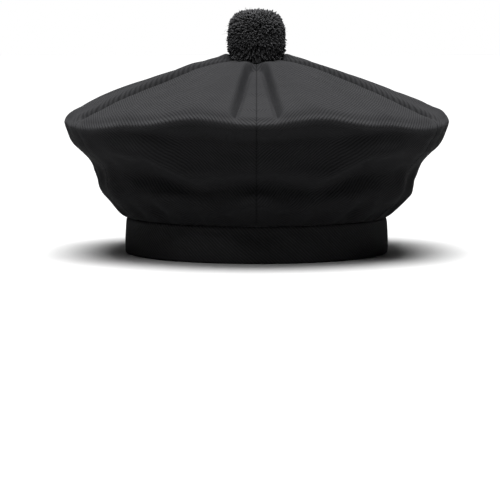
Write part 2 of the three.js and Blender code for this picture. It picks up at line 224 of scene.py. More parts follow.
# Rolls and hollows round the side: how tall each is, and its height and depth by angle
side_folds = [
    (0.1, table("at up out", (0, 0.79, -0.85), (22, 0.8, -0.85), (40, 0.97, -0.2), (52, 0.97, 0),
                (150, 0.8, 0), (180, 0.8, -0.5))),
    (0.09, table("at up out", (0, 0.59, 0.9), (20, 0.51, 1), (38, 0.76, 0.7), (52, 0.82, 0),
                 (105, 0.6, 0), (135, 0.62, 0.4), (180, 0.56, 0.3))),
    (0.09, table("at up out", (0, 0.41, -0.7), (20, 0.33, -0.75), (40, 0.5, -0.8), (52, 0.5, 0),
                 (110, 0.42, 0), (140, 0.44, -0.35), (180, 0.38, -0.2))),
    (0.07, table("at up out", (0, 0.27, 0.6), (14, 0.15, 0.4), (26, 0.12, 0), (180, 0.12, 0))),
]
side_dents = table(
    "at up wide tall out",
    (73, 0.44, 7, 0.15, -0.9), (57, 0.38, 4.5, 0.16, 0.8),
    (37, 0.24, 4, 0.11, 0.6), (112, 0.5, 7, 0.14, -0.55),
)
roof_dents = table(
    "at out wide long depth",
    (168, 0.55, 6, 0.22, 0.8), (98, 0.82, 8, 0.12, 0.5),
    (-104, 0.78, 7, 0.14, 0.6), (-150, 0.72, 9, 0.13, 0.5),
)
gathers = table(
    "at deep reach lean",
    (10, 0.8, 0.7, 3), (25, 0.45, 0.4, -3), (40, 1, 0.6, 2), (54, 0.4, 0.4, 4), (69, 1, 0.65, -2),
    (84, 0.5, 0.32, 3), (105, 0.7, 0.45, 5), (132, 0.45, 0.4, -4), (149, 0.5, 0.45, 3),
    (166, 1, 0.7, -4), (-12, 0.7, 0.5, -2), (-26, 0.4, 0.35, 3), (-40, 1, 0.6, -2),
    (-53, 0.6, 0.5, 2), (-68, 0.5, 0.4, -3), (-84, 0.75, 0.32, 2), (-113, 0.45, 0.5, -5),
    (-137, 0.75, 0.5, 4), (-160, 1, 0.75, 7),
)
collar_rows = table("at out", (0, 1), (30, 0.85), (55, 0.35), (75, 0), (150, 0), (180, 0.4))
settle_rows = table("at out", (0, 0.4), (50, 0.5), (100, 0.9), (180, 1))
lip_rows = table("at out", (0, 0.9), (20, 1), (60, 0.9), (90, 0.3), (180, 0.3))
lining_side = table("out up", (0, 0), (0.1, 0.14), (0.21, 0.38), (0.22, 0.62))
lining_dome = table("out rise", (0.71, -0.16), (0.62, 0.03), (0.46, 0.22), (0.25, 0.38), (0, 0.46))

rim_place = len(roof_rows["out"]) - 1
hem_place = rim_place + len(side_rows["out"]) - 1


def rows_of(rows):
    """The rows of a table, one dictionary for each."""
    return [dict(zip(rows, values)) for values in zip(*rows.values())]


def blend(a, b, share):
    return a + (b - a) * share


def smooth(share):
    x = np.clip(share, 0, 1)
    return x * x * (3 - 2 * x)


def bell(x):
    return np.exp(-x * x)


def turn(start, end):
    """The angle between two directions, from -180 to 180."""
    return np.mod(end - start + 180, 360) - 180


def around(rows, column, angle):
    """A column of a table that goes by angle from 0 to 180, read on either half of the hat."""
    at = np.abs(turn(0, angle))
    k = np.clip(np.searchsorted(rows["at"], at), 1, len(rows["at"]) - 1)
    start, end = rows["at"][k - 1], rows["at"][k]
    return blend(rows[column][k - 1], rows[column][k], smooth((at - start) / (end - start)))


def along(values, place):
    """A smooth curve through a column's values, at a place counted in rows."""
    i = np.clip(np.floor(place).astype(int), 0, len(values) - 2)
    x = place - i
    ends = 2 * values[0] - values[1], 2 * values[-1] - values[-2]
    wide = np.concatenate([[ends[0]], values, [ends[1]]])
    a, b, c, d = wide[i], wide[i + 1], wide[i + 2], wide[i + 3]
    return b + 0.5 * x * (c - a + x * (2 * a - 5 * b + 4 * c - d + x * (3 * (b - c) + d - a)))


def ahead(angle):
    """The level direction at an angle."""
    turned = np.radians(angle)
    return np.stack([np.sin(turned), -np.cos(turned), np.zeros_like(turned)], -1)


def arc(angle, radius):
    """The length of an arc of so many degrees."""
    return np.radians(angle) * radius


def noise(points, size, seed):
    """Smooth noise from -1 to 1 whose blobs are about as wide as size."""
    cells = 64
    lattice = np.random.default_rng(seed).uniform(-1, 1, (cells, cells, cells))
    grid = points / size
    base = np.floor(grid).astype(int)
    share = smooth(grid - base)
    total = np.zeros(points.shape[:-1])
    for corner in np.ndindex(2, 2, 2):
        weight = np.prod(np.where(corner, share, 1 - share), -1)
        x, y, z = np.moveaxis((base + corner) % cells, -1, 0)
        total += weight * lattice[x, y, z]
    return total


# The crown's form

def rim_at(angle):
    corner = 0.5 + 0.5 * np.cos(gore_count * np.radians(angle))
    return rim_radius * (1 + corner_reach * corner), rim_height + rim_wave * around(rim_rows, "lift", angle)


def seam_depth(angle, radius):
    depth = 0
    for seam in rows_of(seam_rows):
        away = arc(np.abs(turn(seam["at"], angle)) - seam["floor"], radius)
        depth = depth + seam["dip"] * seam_dip * (1 - smooth(away / seam["wall"]))
    return depth


def roof_offset(angle, out, radius):
    offset = -seam_depth(angle, radius) * (1 - bell(radius / pull_width)) * (1 - (1 - rim_seam) * out**4)
    for dent in rows_of(roof_dents):
        across = bell(turn(dent["at"], angle) / dent["wide"])
        offset = offset - dent["depth"] * dent_depth * across * bell((out - dent["out"]) / dent["long"])
    collar = around(collar_rows, "out", angle) * bell((radius - collar_radius) / collar_width)
    collar = collar * smooth((radius - centre_hole) / centre_hole / 2)
    return offset - collar_depth * collar


def gather_offset(angle, up):
    offset = 0
    for gather in rows_of(gathers):
        climb = np.clip(up / gather["reach"], 0, 1)
        fade = smooth(climb / gather_rise) * (1 - climb) ** 1.5
        away = arc(turn(gather["at"] + gather["lean"] * climb, angle), band_top_radius)
        share = away / gather_width / (1 + gather_spread * climb)
        fold = bell(share) - flank_height * bell(share / flank_width)
        offset = offset - gather["deep"] * gather_depth * fade * fold
    return offset


def fold_offset(angle, up):
    calm = smooth(up / calm_band) * smooth((1 - up) / calm_rim)
    offset = 0
    for tall, rows in side_folds:
        away = (up - around(rows, "up", angle)) / tall
        offset = offset + fold_depth * around(rows, "out", angle) * bell(away) * calm
    return offset


def side_offset(angle, up, radius):
    calm = smooth(up / calm_band) * smooth((1 - up) / calm_rim)
    offset = gather_offset(angle, up) + fold_offset(angle, up)
    offset = offset - rim_seam * up * up * seam_depth(angle, radius)
    for dent in rows_of(side_dents):
        across = bell((np.abs(turn(0, angle)) - dent["at"]) / dent["wide"])
        offset = offset + fold_depth * dent["out"] * across * bell((up - dent["up"]) / dent["tall"]) * calm
    return offset


def smooth_crown(angle, place):
    """Radius and height on the crown without seams or folds. place runs from the centre hole down."""
    radius, height = rim_at(angle)
    roof = np.minimum(place, rim_place)
    side = np.maximum(place - rim_place, 0)
    roof_radius = blend(centre_hole, radius, along(roof_rows["out"], roof))
    roof_height = blend(height, peak_height, along(roof_rows["up"], roof))
    roof_height = roof_height - pompom_pull * np.exp(-((roof_radius / pull_width) ** pull_edge))
    side_radius = blend(band_top_radius, radius, along(side_rows["out"], side))
    side_height = blend(hem_height, height, along(side_rows["up"], side))
    on_roof = place <= rim_place
    return np.where(on_roof, roof_radius, side_radius), np.where(on_roof, roof_height, side_height)


def crown_folds(angle, place, radius):
    roof = roof_offset(angle, along(roof_rows["out"], np.minimum(place, rim_place)), radius)
    side = side_offset(angle, along(side_rows["up"], np.maximum(place - rim_place, 0)), radius)
    return np.where(place <= rim_place, roof, side)


def crown_point(angle, place, lift):
    """Points of the crown, lift above its outer face."""
    step = 0.05
    radius, height = smooth_crown(angle, place)
    before = smooth_crown(angle, np.maximum(place - step, 0))
    after = smooth_crown(angle, np.minimum(place + step, hem_place))
    out, down = after[0] - before[0], after[1] - before[1]
    reach = np.hypot(out, down)
    offset = crown_folds(angle, place, radius) + lift
    points = ahead(angle) * (radius - down / reach * offset)[..., None]
    points[..., 2] = height + out / reach * offset
    return points


def fine_steps(length, step, edge):
    """An even number of steps along a length, closer together by both ends."""
    near = edge * np.array([0, 0.15, 0.35, 0.6, 0.85, 1.15, 1.5, 2, 2.7])
    count = 2 * round((length - 2 * near[-1]) / step / 2)
    middle = np.linspace(near[-1], length - near[-1], count + 1)
    return np.concatenate([near[:-1], middle, length - near[-2::-1]])


def lengths(points):
    """How far along a line each of its points lies."""
    steps = np.linalg.norm(np.diff(points, axis=0), axis=-1)
    return np.concatenate([[0], np.cumsum(steps)])


# Rows down the crown, at even steps of cloth
spread_places = np.linspace(0, hem_place, 1601)
spread_line = np.stack(smooth_crown(np.full_like(spread_places, gore_angle / 2), spread_places), -1)
spread_lengths = lengths(spread_line)
crown_length = spread_lengths[-1]
cloth_rows = fine_steps(crown_length, cloth_step, seam_tuck)
crown_places = np.interp(cloth_rows, spread_lengths, spread_places)


def place_to_length(place):
    return np.interp(place, spread_places, spread_lengths)


# Meshes

def add_mesh(name, points, faces, uv, material, smooth_angle=50, edge=None):
    """A mesh in metres from points in millimetres. Each point has a place on the cloth, and on the crown
    its distances from the nearest seam and from the rim's fold."""
    mesh = bpy.data.meshes.new(name)
    mesh.from_pydata(np.asarray(points) * MM, [], faces)
    corners = np.empty(len(mesh.loops), int)
    mesh.loops.foreach_get("vertex_index", corners)
    for layer_name, places in (("cloth", uv), ("edge", edge)):
        if places is not None:
            layer = mesh.uv_layers.new(name=layer_name)
            layer.data.foreach_set("uv", np.asarray(places, float)[corners].ravel())
    mesh.shade_smooth()
    mesh.set_sharp_from_angle(angle=math.radians(smooth_angle))
    mesh.materials.append(material)
    piece = bpy.data.objects.new(name, mesh)
    bpy.context.scene.collection.objects.link(piece)
    return piece


def sheet_faces(index):
    """The quads of a grid of points, facing out where its rows run down and its columns anticlockwise."""
    a, b, c, d = index[:-1, :-1], index[1:, :-1], index[1:, 1:], index[:-1, 1:]
    return np.stack([a, b, c, d], -1).reshape(-1, 4).tolist()


def edge_faces(fine, coarse):
    """Closes a fine edge against one with half as many steps."""
    a, b, c = fine[:-1:2], fine[1::2], fine[2::2]
    d, e = coarse[:-1], coarse[1:]
    return np.concatenate([np.stack(corners, -1) for corners in ((a, b, d), (b, e, d), (b, c, e))]).tolist()


def solid_sheet(fine, coarse, is_ring=False, is_dome=False, faces_in=False):
    """Points and faces of the solid between a fine sheet and one with half its steps. A ring's columns
    meet themselves, a dome closes at its first row, and faces_in turns a sheet that is seen from inside."""
    count = fine.shape[0] * fine.shape[1]
    fine_index = np.arange(count).reshape(fine.shape[:2])
    coarse_index = count + np.arange(coarse.shape[0] * coarse.shape[1]).reshape(coarse.shape[:2])
    if is_ring:
        fine_index = np.concatenate([fine_index, fine_index[:, :1]], 1)
        coarse_index = np.concatenate([coarse_index, coarse_index[:, :1]], 1)
    faces = sheet_faces(fine_index) + [face[::-1] for face in sheet_faces(coarse_index)]
    faces += edge_faces(fine_index[-1, ::-1], coarse_index[-1, ::-1])
    if is_dome:
        faces += [fine_index[0, :-1].tolist(), coarse_index[0, -2::-1].tolist()]
    else:
        faces += edge_faces(fine_index[0], coarse_index[0])
    if not is_ring:
        faces += edge_faces(fine_index[::-1, 0], coarse_index[::-1, 0])
        faces += edge_faces(fine_index[:, -1], coarse_index[:, -1])
    if faces_in:
        faces = [face[::-1] for face in faces]
    return np.concatenate([fine.reshape(-1, 3), coarse.reshape(-1, 3)]), faces


def both_sheets(u, v):
    """Two values at each point of the fine sheet, and again at those of the coarse one."""
    pairs = np.stack([u, v], -1)
    return np.concatenate([pairs.reshape(-1, 2), pairs[::2, ::2].reshape(-1, 2)])


def sheet_area(points):
    """The area of a grid of points."""
    across = points[1:, 1:] - points[:-1, :-1]
    back = points[1:, :-1] - points[:-1, 1:]
    return np.linalg.norm(np.cross(across, back), axis=-1).sum() / 2


def round_turn(away, radius):
    """How far a sheet that turns down round an edge lies below its face, so far from the edge."""
    share = 1 - np.clip(away / radius, 0, 1)
    return radius * (1 - np.sqrt(1 - share * share))


# The crown's cloth settles in a short simulation, which gives it small buckles that no formula has

def blurred(grid, passes):
    """A grid round the hat with its fine detail taken away."""
    for _ in range(passes):
        grid = (np.roll(grid, -blur_reach, 1) + np.roll(grid, blur_reach, 1) + grid) / 3
        tall = np.pad(grid, ((blur_reach, blur_reach), (0, 0), (0, 0)), "edge")
        grid = (tall[2 * blur_reach:] + tall[:-2 * blur_reach] + grid) / 3
    return grid


def settle_crown():
    """How far a light cloth simulation moves the crown out and up, on a grid of rows and angles."""
    rows = np.linspace(0, crown_length, grid_rows)
    angles = 360 * np.arange(grid_columns) / grid_columns
    places = np.interp(rows, spread_lengths, spread_places)
    angle, place = np.meshgrid(angles, places)
    start = crown_point(angle, place, 0)
    index = np.arange(angle.size).reshape(angle.shape)
    index = np.concatenate([index, index[:, :1]], 1)
    mesh = bpy.data.meshes.new("settling")
    mesh.from_pydata(start.reshape(-1, 3) * MM, [], sheet_faces(index))
    cloth = bpy.data.objects.new("settling", mesh)
    bpy.context.scene.collection.objects.link(cloth)
    held = cloth.vertex_groups.new(name="held")
    edge = np.minimum(rows, crown_length - rows)
    for i, row in enumerate(index[:, :-1]):
        held.add(row.tolist(), 1.0 if edge[i] < held_strip else held_loosely, "REPLACE")
    modifier = cloth.modifiers.new("Cloth", "CLOTH")
    settings = modifier.settings
    settings.quality = 6
    settings.mass = 0.25
    settings.tension_stiffness = 18
    settings.compression_stiffness = 18
    settings.shear_stiffness = 6
    settings.bending_stiffness = 0.35
    settings.air_damping = 3
    settings.shrink_min = -0.025
    settings.vertex_group_mass = "held"
    settings.pin_stiffness = 0.4
    settings.effector_weights.gravity = 0.15
    modifier.collision_settings.use_collision = False
    modifier.point_cache.frame_start = 1
    modifier.point_cache.frame_end = settle_frames
    scene = bpy.context.scene
    for number in range(1, settle_frames + 1):
        scene.frame_set(number)
        bpy.context.view_layer.update()
    settled = cloth.evaluated_get(bpy.context.evaluated_depsgraph_get())
    moved = np.empty(angle.size * 3)
    settled.data.vertices.foreach_get("co", moved)
    scene.frame_set(1)
    bpy.data.objects.remove(cloth)
    bpy.data.meshes.remove(mesh)
    shift = moved.reshape(start.shape) / MM - start
    out = (shift * ahead(angle)).sum(-1)
    shift = np.stack([out, shift[..., 2]], -1)
    shift -= blurred(shift, blur_passes)
    far = np.linalg.norm(shift, axis=-1, keepdims=True)
    return shift * np.tanh(far / most_settle) * most_settle / np.maximum(far, 1e-6)


def spline_weights(x):
    """The four weights of a smooth spline between grid points."""
    return np.stack([(1 - x) ** 3, 3 * x**3 - 6 * x * x + 4, -3 * x**3 + 3 * x * x + 3 * x + 1, x**3]) / 6


def read_grid(grid, row, column):
    """A grid of values round the hat, read smoothly between its rows and columns."""
    i, j = np.floor(row).astype(int), np.floor(column).astype(int)
    across, down = spline_weights(column - j), spline_weights(row - i)
    total = 0
    for a in range(4):
        for b in range(4):
            values = grid[np.clip(i + a - 1, 0, len(grid) - 1), (j + b - 1) % grid.shape[1]]
            total = total + values * (down[a] * across[b])[..., None]
    return total


settled = settle_crown()


def settle(points, angle, place):
    """Moves the crown's points as the simulated cloth moved. They stay in their own upright planes."""
    if settled is None:
        return points
    row = place_to_length(place) / crown_length * (len(settled) - 1)
    shift = read_grid(settled, row, np.mod(angle, 360) / 360 * settled.shape[1])
    edge = np.minimum(place_to_length(place), crown_length - place_to_length(place))
    shift = shift * (smooth(edge / settle_edge) * around(settle_rows, "out", angle))[..., None]
    moved = points + ahead(angle) * shift[..., :1]
    moved[..., 2] += shift[..., 1]
    return moved


def main_creases(angle, place):
    """How far the cloth's own creases lift both of its faces."""
    radius = smooth_crown(angle, place)[0]
    front = rows_of(seam_rows)[0]
    from_floor = arc(np.abs(turn(0, angle)) - front["floor"], radius)
    foot = from_floor - 0.35 * front["wall"]
    beside = arc(np.abs(turn(0, angle)) - gore_angle, radius)
    on_roof = smooth((place - 0.6) / 1.6) * smooth((rim_place - 0.5 - place) / 2.5)
    opened = smooth((radius - valley_start) / valley_opening)
    lift = -crease_depth * bell(foot / crease_width) * on_roof * opened
    valley = front["dip"] * seam_dip * (1 - smooth(from_floor / front["wall"]))
    lift = lift + valley * (1 - bell(radius / pull_width)) * (1 - opened)
    lift = lift - side_crease * bell((beside - side_crease_away) / side_crease_width) * on_roof
    up = along(side_rows["up"], np.maximum(place - rim_place, 0))
    lift = lift + fold_gain * fold_offset(angle, up) * (place > rim_place)
    near_rim = smooth((place - rim_place + 3) / 3) * smooth((hem_place - 2 - place) / 6)
    return lift + seam_fill * bell(beside / fill_width) * near_rim


def gore_surface(angle, place, from_edge):
    """The outer face of a gore with its small ripples. from_edge is how far each point is from a seam."""
    from_hem = crown_length - place_to_length(place)
    smooth_points = crown_point(angle, place, 0)
    seams = np.round(angle / gore_angle) % gore_count
    seam_line = np.stack([place_to_length(place), 50 * seams, np.zeros_like(place)], -1)
    lift = -round_turn(from_edge, seam_tuck) - round_turn(from_hem, seam_tuck)
    lift += pucker_depth * noise(seam_line, pucker_length, 11) * bell(from_edge / pucker_reach)
    phase = np.radians(shirr_count * angle) + 2.4 * noise(smooth_points, 26, 12)
    height = 0.65 + 0.35 * noise(smooth_points, 12, 13)
    lift += shirr_depth * np.cos(phase) * height * smooth(from_hem / 2) * bell(from_hem / shirr_reach)
    from_rim = place_to_length(place) - place_to_length(rim_place)
    crest = np.exp((lip_edge - np.hypot(from_rim, lip_edge)) / lip_width)
    lip = rim_lip * crest - lip_hollow * bell((from_rim - 2 * lip_width) / lip_width)
    lift += lip * around(lip_rows, "out", angle)
    lift += main_creases(angle, place)
    on_side = smooth((place - rim_place) / 2)
    wrinkles = (0.7 + 0.6 * on_side) * noise(smooth_points, 24, 14) + 0.3 * noise(smooth_points, 8, 15)
    lift += wrinkle_depth * wrinkles * smooth(from_hem / 14)
    return settle(crown_point(angle, place, lift), angle, place)


def gore_columns():
    """Shares of the way across a gore, closer together by its seams."""
    width = arc(gore_angle, rim_radius)
    return fine_steps(width, cloth_step, seam_tuck) / width


def make_gore(index, material):
    start = index * gore_angle
    share, place = np.meshgrid(gore_columns(), crown_places)
    angle = start + share * gore_angle
    radius = smooth_crown(angle, place)[0]
    from_edge = arc(np.minimum(share, 1 - share) * gore_angle, radius)
    inward = ahead(np.array(start + 90.0)) * (1 - share[..., None])
    inward = inward + ahead(np.array(start + gore_angle - 90.0)) * share[..., None]
    shift = -inward * seam_press / 2
    fine = gore_surface(angle, place, from_edge) + shift
    coarse = crown_point(angle, place, main_creases(angle, place) - crown_cloth)
    coarse = (settle(coarse, angle, place) + shift)[::2, ::2]
    points, faces = solid_sheet(fine, coarse)
    handed = 1 if start < 180 else -1
    across = handed * arc((share - 0.5) * gore_angle, radius)
    uv = both_sheets(across, place_to_length(place))
    from_hem = crown_length - place_to_length(place)
    # Each point's distance from the nearest seam or the hem, and from the rim's fold: the twill paints
    # shade by the seams and hem, and a highlight along the fold, from these.
    edge = both_sheets(np.minimum(from_edge, from_hem), place_to_length(place) - place_to_length(rim_place))
    gore = add_mesh(f"gore_cloth_{index + 1}", points, faces, uv, material, edge=edge)
    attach(gore, "root")
    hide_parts(f"crown_gore_{index + 1}")


# The back seam's topstitching, beside the seam on the side of the crown

def capsule(start, end, radius, sides=6, rings=3, last_bend=0.85):
    """Points and faces of a small rounded rod between two points. last_bend is how far round its ends
    the rings go, as a share of a quarter turn."""
    way = (end - start) / np.linalg.norm(end - start)
    side = np.cross(way, [0, 0, 1] if abs(way[2]) < 0.9 else [1, 0, 0])
    side /= np.linalg.norm(side)
    other = np.cross(way, side)
    turned = 2 * np.pi * np.arange(sides) / sides
    circle = np.cos(turned)[:, None] * side + np.sin(turned)[:, None] * other
    points = [start - way * radius]
    bends = np.linspace(0, last_bend, rings) * np.pi / 2
    for middle, sign, turns in ((start, -1, bends[::-1]), (end, 1, bends)):
        for bend in turns:
            ahead_by = way * sign * radius * math.sin(bend)
            points.extend(middle + ahead_by + circle * radius * math.cos(bend))
    points.append(end + way * radius)
    count = 2 * rings
    faces = [[0, 1 + (k + 1) % sides, 1 + k] for k in range(sides)]
    for ring in range(count - 1):
        low = 1 + ring * sides
        for k in range(sides):
            m = (k + 1) % sides
            faces.append([low + k, low + m, low + sides + m, low + sides + k])
    top = 1 + (count - 1) * sides
    faces += [[top + k, top + (k + 1) % sides, top + sides] for k in range(sides)]
    return np.array(points), faces


def make_stitches(material):
    points, faces = [], []
    for number in range(stitch_count):
        from_top = crown_length - stitch_low - number * (stitch_length + stitch_gap)
        ends = np.interp([from_top, from_top - stitch_length], spread_lengths, spread_places)
        radius = smooth_crown(np.full(2, 180.0), ends)[0]
        angle = 180 + np.degrees(stitch_away / radius)
        line = gore_surface(angle, ends, np.full(2, float(stitch_away)))
        line = line + ahead(angle) * stitch_lift
        rod, rod_faces = capsule(line[0], line[1], stitch_radius)
        faces += [[corner + len(points) for corner in face] for face in rod_faces]
        points.extend(rod)
    stitches = add_mesh("back_seam_stitches", points, faces, np.zeros((len(points), 2)), material)
    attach(stitches, "root")


# Band

def make_band(material):
    sides = 560
    height = fine_steps(band_height, 0.8, 0.6)[::-1]
    angle, height = np.meshgrid(360 * np.arange(sides) / sides, height)
    share = height / band_height
    radius = band_top_radius + band_flare * (1 - share) + band_bulge * 4 * share * (1 - share)
    turned_in = round_turn(height, band_fold) + round_turn(band_height - height, band_top_edge)
    round_points = ahead(angle) * band_top_radius
    round_points[..., 2] = height
    wave = 0.45 * noise(round_points, 34, 21) + 0.12 * noise(round_points, 9, 22)
    pull = 0.22 * np.cos(np.radians(shirr_count * angle)) * bell((band_height - height) / 4)
    join = arc(turn(180, angle), band_top_radius)
    groove = 0.8 * bell(join / 0.55) - 0.25 * bell(join / 2.6)
    calm = smooth(height / 2) * smooth((band_height - height - 1) / 5)

    def wall(inset, way):
        across = radius - inset + (wave + pull) * calm - way * (turned_in + groove * smooth(height / 3))
        points = ahead(angle) * across[..., None]
        points[..., 2] = height
        return points

    fine = wall(0, 1)
    coarse = wall(band_cloth, -1)[::2, ::2]
    points, faces = solid_sheet(fine, coarse, is_ring=True)
    uv = np.stack([arc(turn(0, angle), band_top_radius), height], -1)
    inner_uv = np.stack([arc(turn(0, angle), band_top_radius), -height], -1)[::2, ::2]
    uv = np.concatenate([uv.reshape(-1, 2), inner_uv.reshape(-1, 2)])
    band = add_mesh("band_ring", points, faces, uv, material)
    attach(band, "root")
    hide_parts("band")


# Lining

def make_lining(material):
    edge_radius = band_top_radius - crown_cloth - piece_gap
    side_radii = blend(edge_radius, rim_radius, lining_side["out"])
    radii = np.concatenate([side_radii, rim_radius * lining_dome["out"]])
    heights = np.concatenate([
        blend(hem_height, rim_height, lining_side["up"]),
        blend(rim_height, peak_height, lining_dome["rise"]),
    ])
    places = np.linspace(len(radii) - 1, 0, 1201)
    line = np.stack([along(radii, places), along(heights, places)], -1)
    line = line[line[:, 0] > 1.2]
    line_lengths = lengths(line)
    rows = np.linspace(0, line_lengths[-1], 141)
    radius, height = (np.interp(rows, line_lengths, line[:, k]) for k in (0, 1))
    way = np.gradient(np.stack([radius, height], -1), axis=0)
    way /= np.linalg.norm(way, axis=-1, keepdims=True)
    sides = 480
    angle, radius = np.meshgrid(360 * np.arange(sides) / sides, radius)
    height, row = height[:, None], rows[:, None]
    from_hem = line_lengths[-1] - row

    def surface(inset):
        across = radius + inset * way[:, 1:]
        points = ahead(angle) * across[..., None]
        points[..., 2] = height - inset * way[:, :1]
        return points

    turned = np.radians(angle)
    around_line = np.stack([np.cos(turned) * 60, np.sin(turned) * 60, row / 6 + 0 * angle], -1)
    phase = np.radians(64 * angle) + 3 * noise(around_line, 18, 31)
    ripple = (0.5 + 0.5 * np.cos(phase)) * (0.7 + 0.3 * noise(around_line, 9, 32))
    creases = 0.9 * ripple * bell(from_hem / 20) * smooth(from_hem / 2.5)
    outer = surface(0)
    wrinkles = smooth(0.5 + noise(outer * [1, 1, 0.45], 19, 33)) + 0.45 * noise(outer * [1, 1, 0.5], 9, 34)
    creases = creases + wrinkle_lining * wrinkles * smooth(radius / 30) * smooth(from_hem / 8)
    seam = arc(np.mod(angle + 30, 60) - 30, radius)
    creases = creases + (0.55 * bell(seam / 1.9) - 0.6 * bell(seam / 0.45)) * smooth(radius / 8)
    clear = lining_clear * bell((from_hem - lining_clear_at) / lining_clear_at) * smooth(from_hem / 3)
    fine = surface(lining_cloth + clear + np.maximum(creases, -0.6))
    coarse = surface(clear + 0 * radius)[::2, ::2]
    points, faces = solid_sheet(fine, coarse, is_ring=True, is_dome=True, faces_in=True)
    uv = np.stack([arc(turn(0, angle), radius), row + 0 * radius], -1)
    uv = np.concatenate([uv.reshape(-1, 2), uv[::2, ::2].reshape(-1, 2)])
    lining = add_mesh("lining_dome", points, faces, uv, material)
    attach(lining, "root")
    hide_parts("lining")
    across = 2 * line_lengths[-1] * MM
    area = sheet_area(np.concatenate([fine, fine[:, :1]], 1)) * MM * MM
    area = min(area, across * across)


# Pompom

def pompom_reach(way):
    """Distance from the pompom's middle to its outer form."""
    flat = np.hypot(way[..., 0], way[..., 1]) / pompom_radius
    tall = np.abs(way[..., 2]) / (pompom_height / 2)
    boxiness = np.where(way[..., 2] > 0, pompom_boxiness, foot_boxiness)
    return (flat**boxiness + tall**boxiness) ** (-1 / boxiness)


roof_angles = np.arange(0, 360, 2.0)
roof_lines = crown_point(*np.meshgrid(roof_angles, np.linspace(0, rim_place, 161)), 0)


def roof_under(points):
    """Height of the crown's roof below each point of many lines."""
    angle = np.degrees(np.arctan2(points[..., 0], -points[..., 1])) % 360
    radius = np.hypot(points[..., 0], points[..., 1])
    column = np.round(angle / 2).astype(int) % len(roof_angles)
    heights = np.empty(radius.shape)
    for k in range(len(roof_angles)):
        here = column == k
        line = roof_lines[:, k]
        heights[here] = np.interp(radius[here], np.hypot(line[:, 0], line[:, 1]), line[:, 2])
    return heights


def strands(lines, radii, sides):
    """Points, faces and cloth places of closed tubes along lines, which all have as many points."""
    count, steps = lines.shape[:2]
    way = np.gradient(lines, axis=1)
    way /= np.linalg.norm(way, axis=-1, keepdims=True)
    helper = np.where(np.abs(way[:, :1, 2:]) < 0.8, [0.0, 0, 1], [1.0, 0, 0])
    side = np.cross(way, helper)
    side /= np.linalg.norm(side, axis=-1, keepdims=True)
    other = np.cross(way, side)
    turned = 2 * np.pi * np.arange(sides) / sides
    circle = side[:, :, None] * np.cos(turned)[:, None] + other[:, :, None] * np.sin(turned)[:, None]
    tubes = lines[:, :, None] + circle * radii[:, :, None, None]
    foot_cap = lines[:, 0] - way[:, 0] * radii[:, :1] * 0.5
    tip_cap = lines[:, -1] + way[:, -1] * radii[:, -1:] * 0.6
    points = np.concatenate([tubes.reshape(count, -1, 3), np.stack([foot_cap, tip_cap], 1)], 1)
    ring = np.arange(steps * sides).reshape(steps, sides)
    ring = np.concatenate([ring, ring[:, :1]], 1)
    quads = np.stack([ring[:-1, :-1], ring[:-1, 1:], ring[1:, 1:], ring[1:, :-1]], -1).reshape(-1, 4)
    foot, tip = steps * sides, steps * sides + 1
    ends = [[foot, b, a] for a, b in zip(ring[0, :-1], ring[0, 1:])]
    ends += [[tip, a, b] for a, b in zip(ring[-1, :-1], ring[-1, 1:])]
    faces = []
    for number in range(count):
        start = number * (steps * sides + 2)
        faces += (quads + start).tolist() + (np.array(ends) + start).tolist()
    along_strand = np.cumsum(np.linalg.norm(np.diff(lines, axis=1, prepend=lines[:, :1]), axis=-1), 1)
    u = np.broadcast_to(np.arange(sides) / sides, (count, steps, sides))
    v = np.broadcast_to(along_strand[:, :, None], (count, steps, sides))
    uv = np.stack([u, v], -1).reshape(count, -1, 2)
    cap_uv = np.stack([np.zeros((count, 2)), along_strand[:, [0, -1]]], -1)
    return points.reshape(-1, 3), faces, np.concatenate([uv, cap_uv], 1).reshape(-1, 2)


def yarn_lines(count, start, end, bend, steps, random):
    """Curved lines from inside the pompom to its outer form. start and end are shares of the way out."""
    golden = np.pi * (3 - math.sqrt(5))
    number = np.arange(count)
    high = 1 - 2 * (number + 0.5) / count
    level = np.sqrt(1 - high * high)
    turned = golden * number
    way = np.stack([level * np.sin(turned), -level * np.cos(turned), high], -1)
    way += random.normal(0, strand_jitter, way.shape)
    way /= np.linalg.norm(way, axis=-1, keepdims=True)
    reach = pompom_reach(way)
    share = np.linspace(0, 1, steps)[None, :, None]
    far = (reach * end)[:, None, None]
    near = (reach * start)[:, None, None]
    lines = way[:, None] * blend(near, far, share)
    lines = lines + random.normal(0, bend, (count, 1, 3)) * np.sin(share * np.pi * 0.9)
    lines = lines + random.normal(0, bend, (count, 1, 3)) * share**2
    droop = strand_droop * (1 - np.abs(way[:, 2]))[:, None] * (share[..., 0] ** 2)
    lines[..., 2] += pompom_middle - droop
    foot = roof_under(lines) + strand_clear
    hanging = smooth((-way[:, 2:] - 0.25) / 0.3) * share[..., 0]
    lines[..., 2] = np.maximum(blend(lines[..., 2], np.minimum(lines[..., 2], foot), hanging), foot)
    return lines


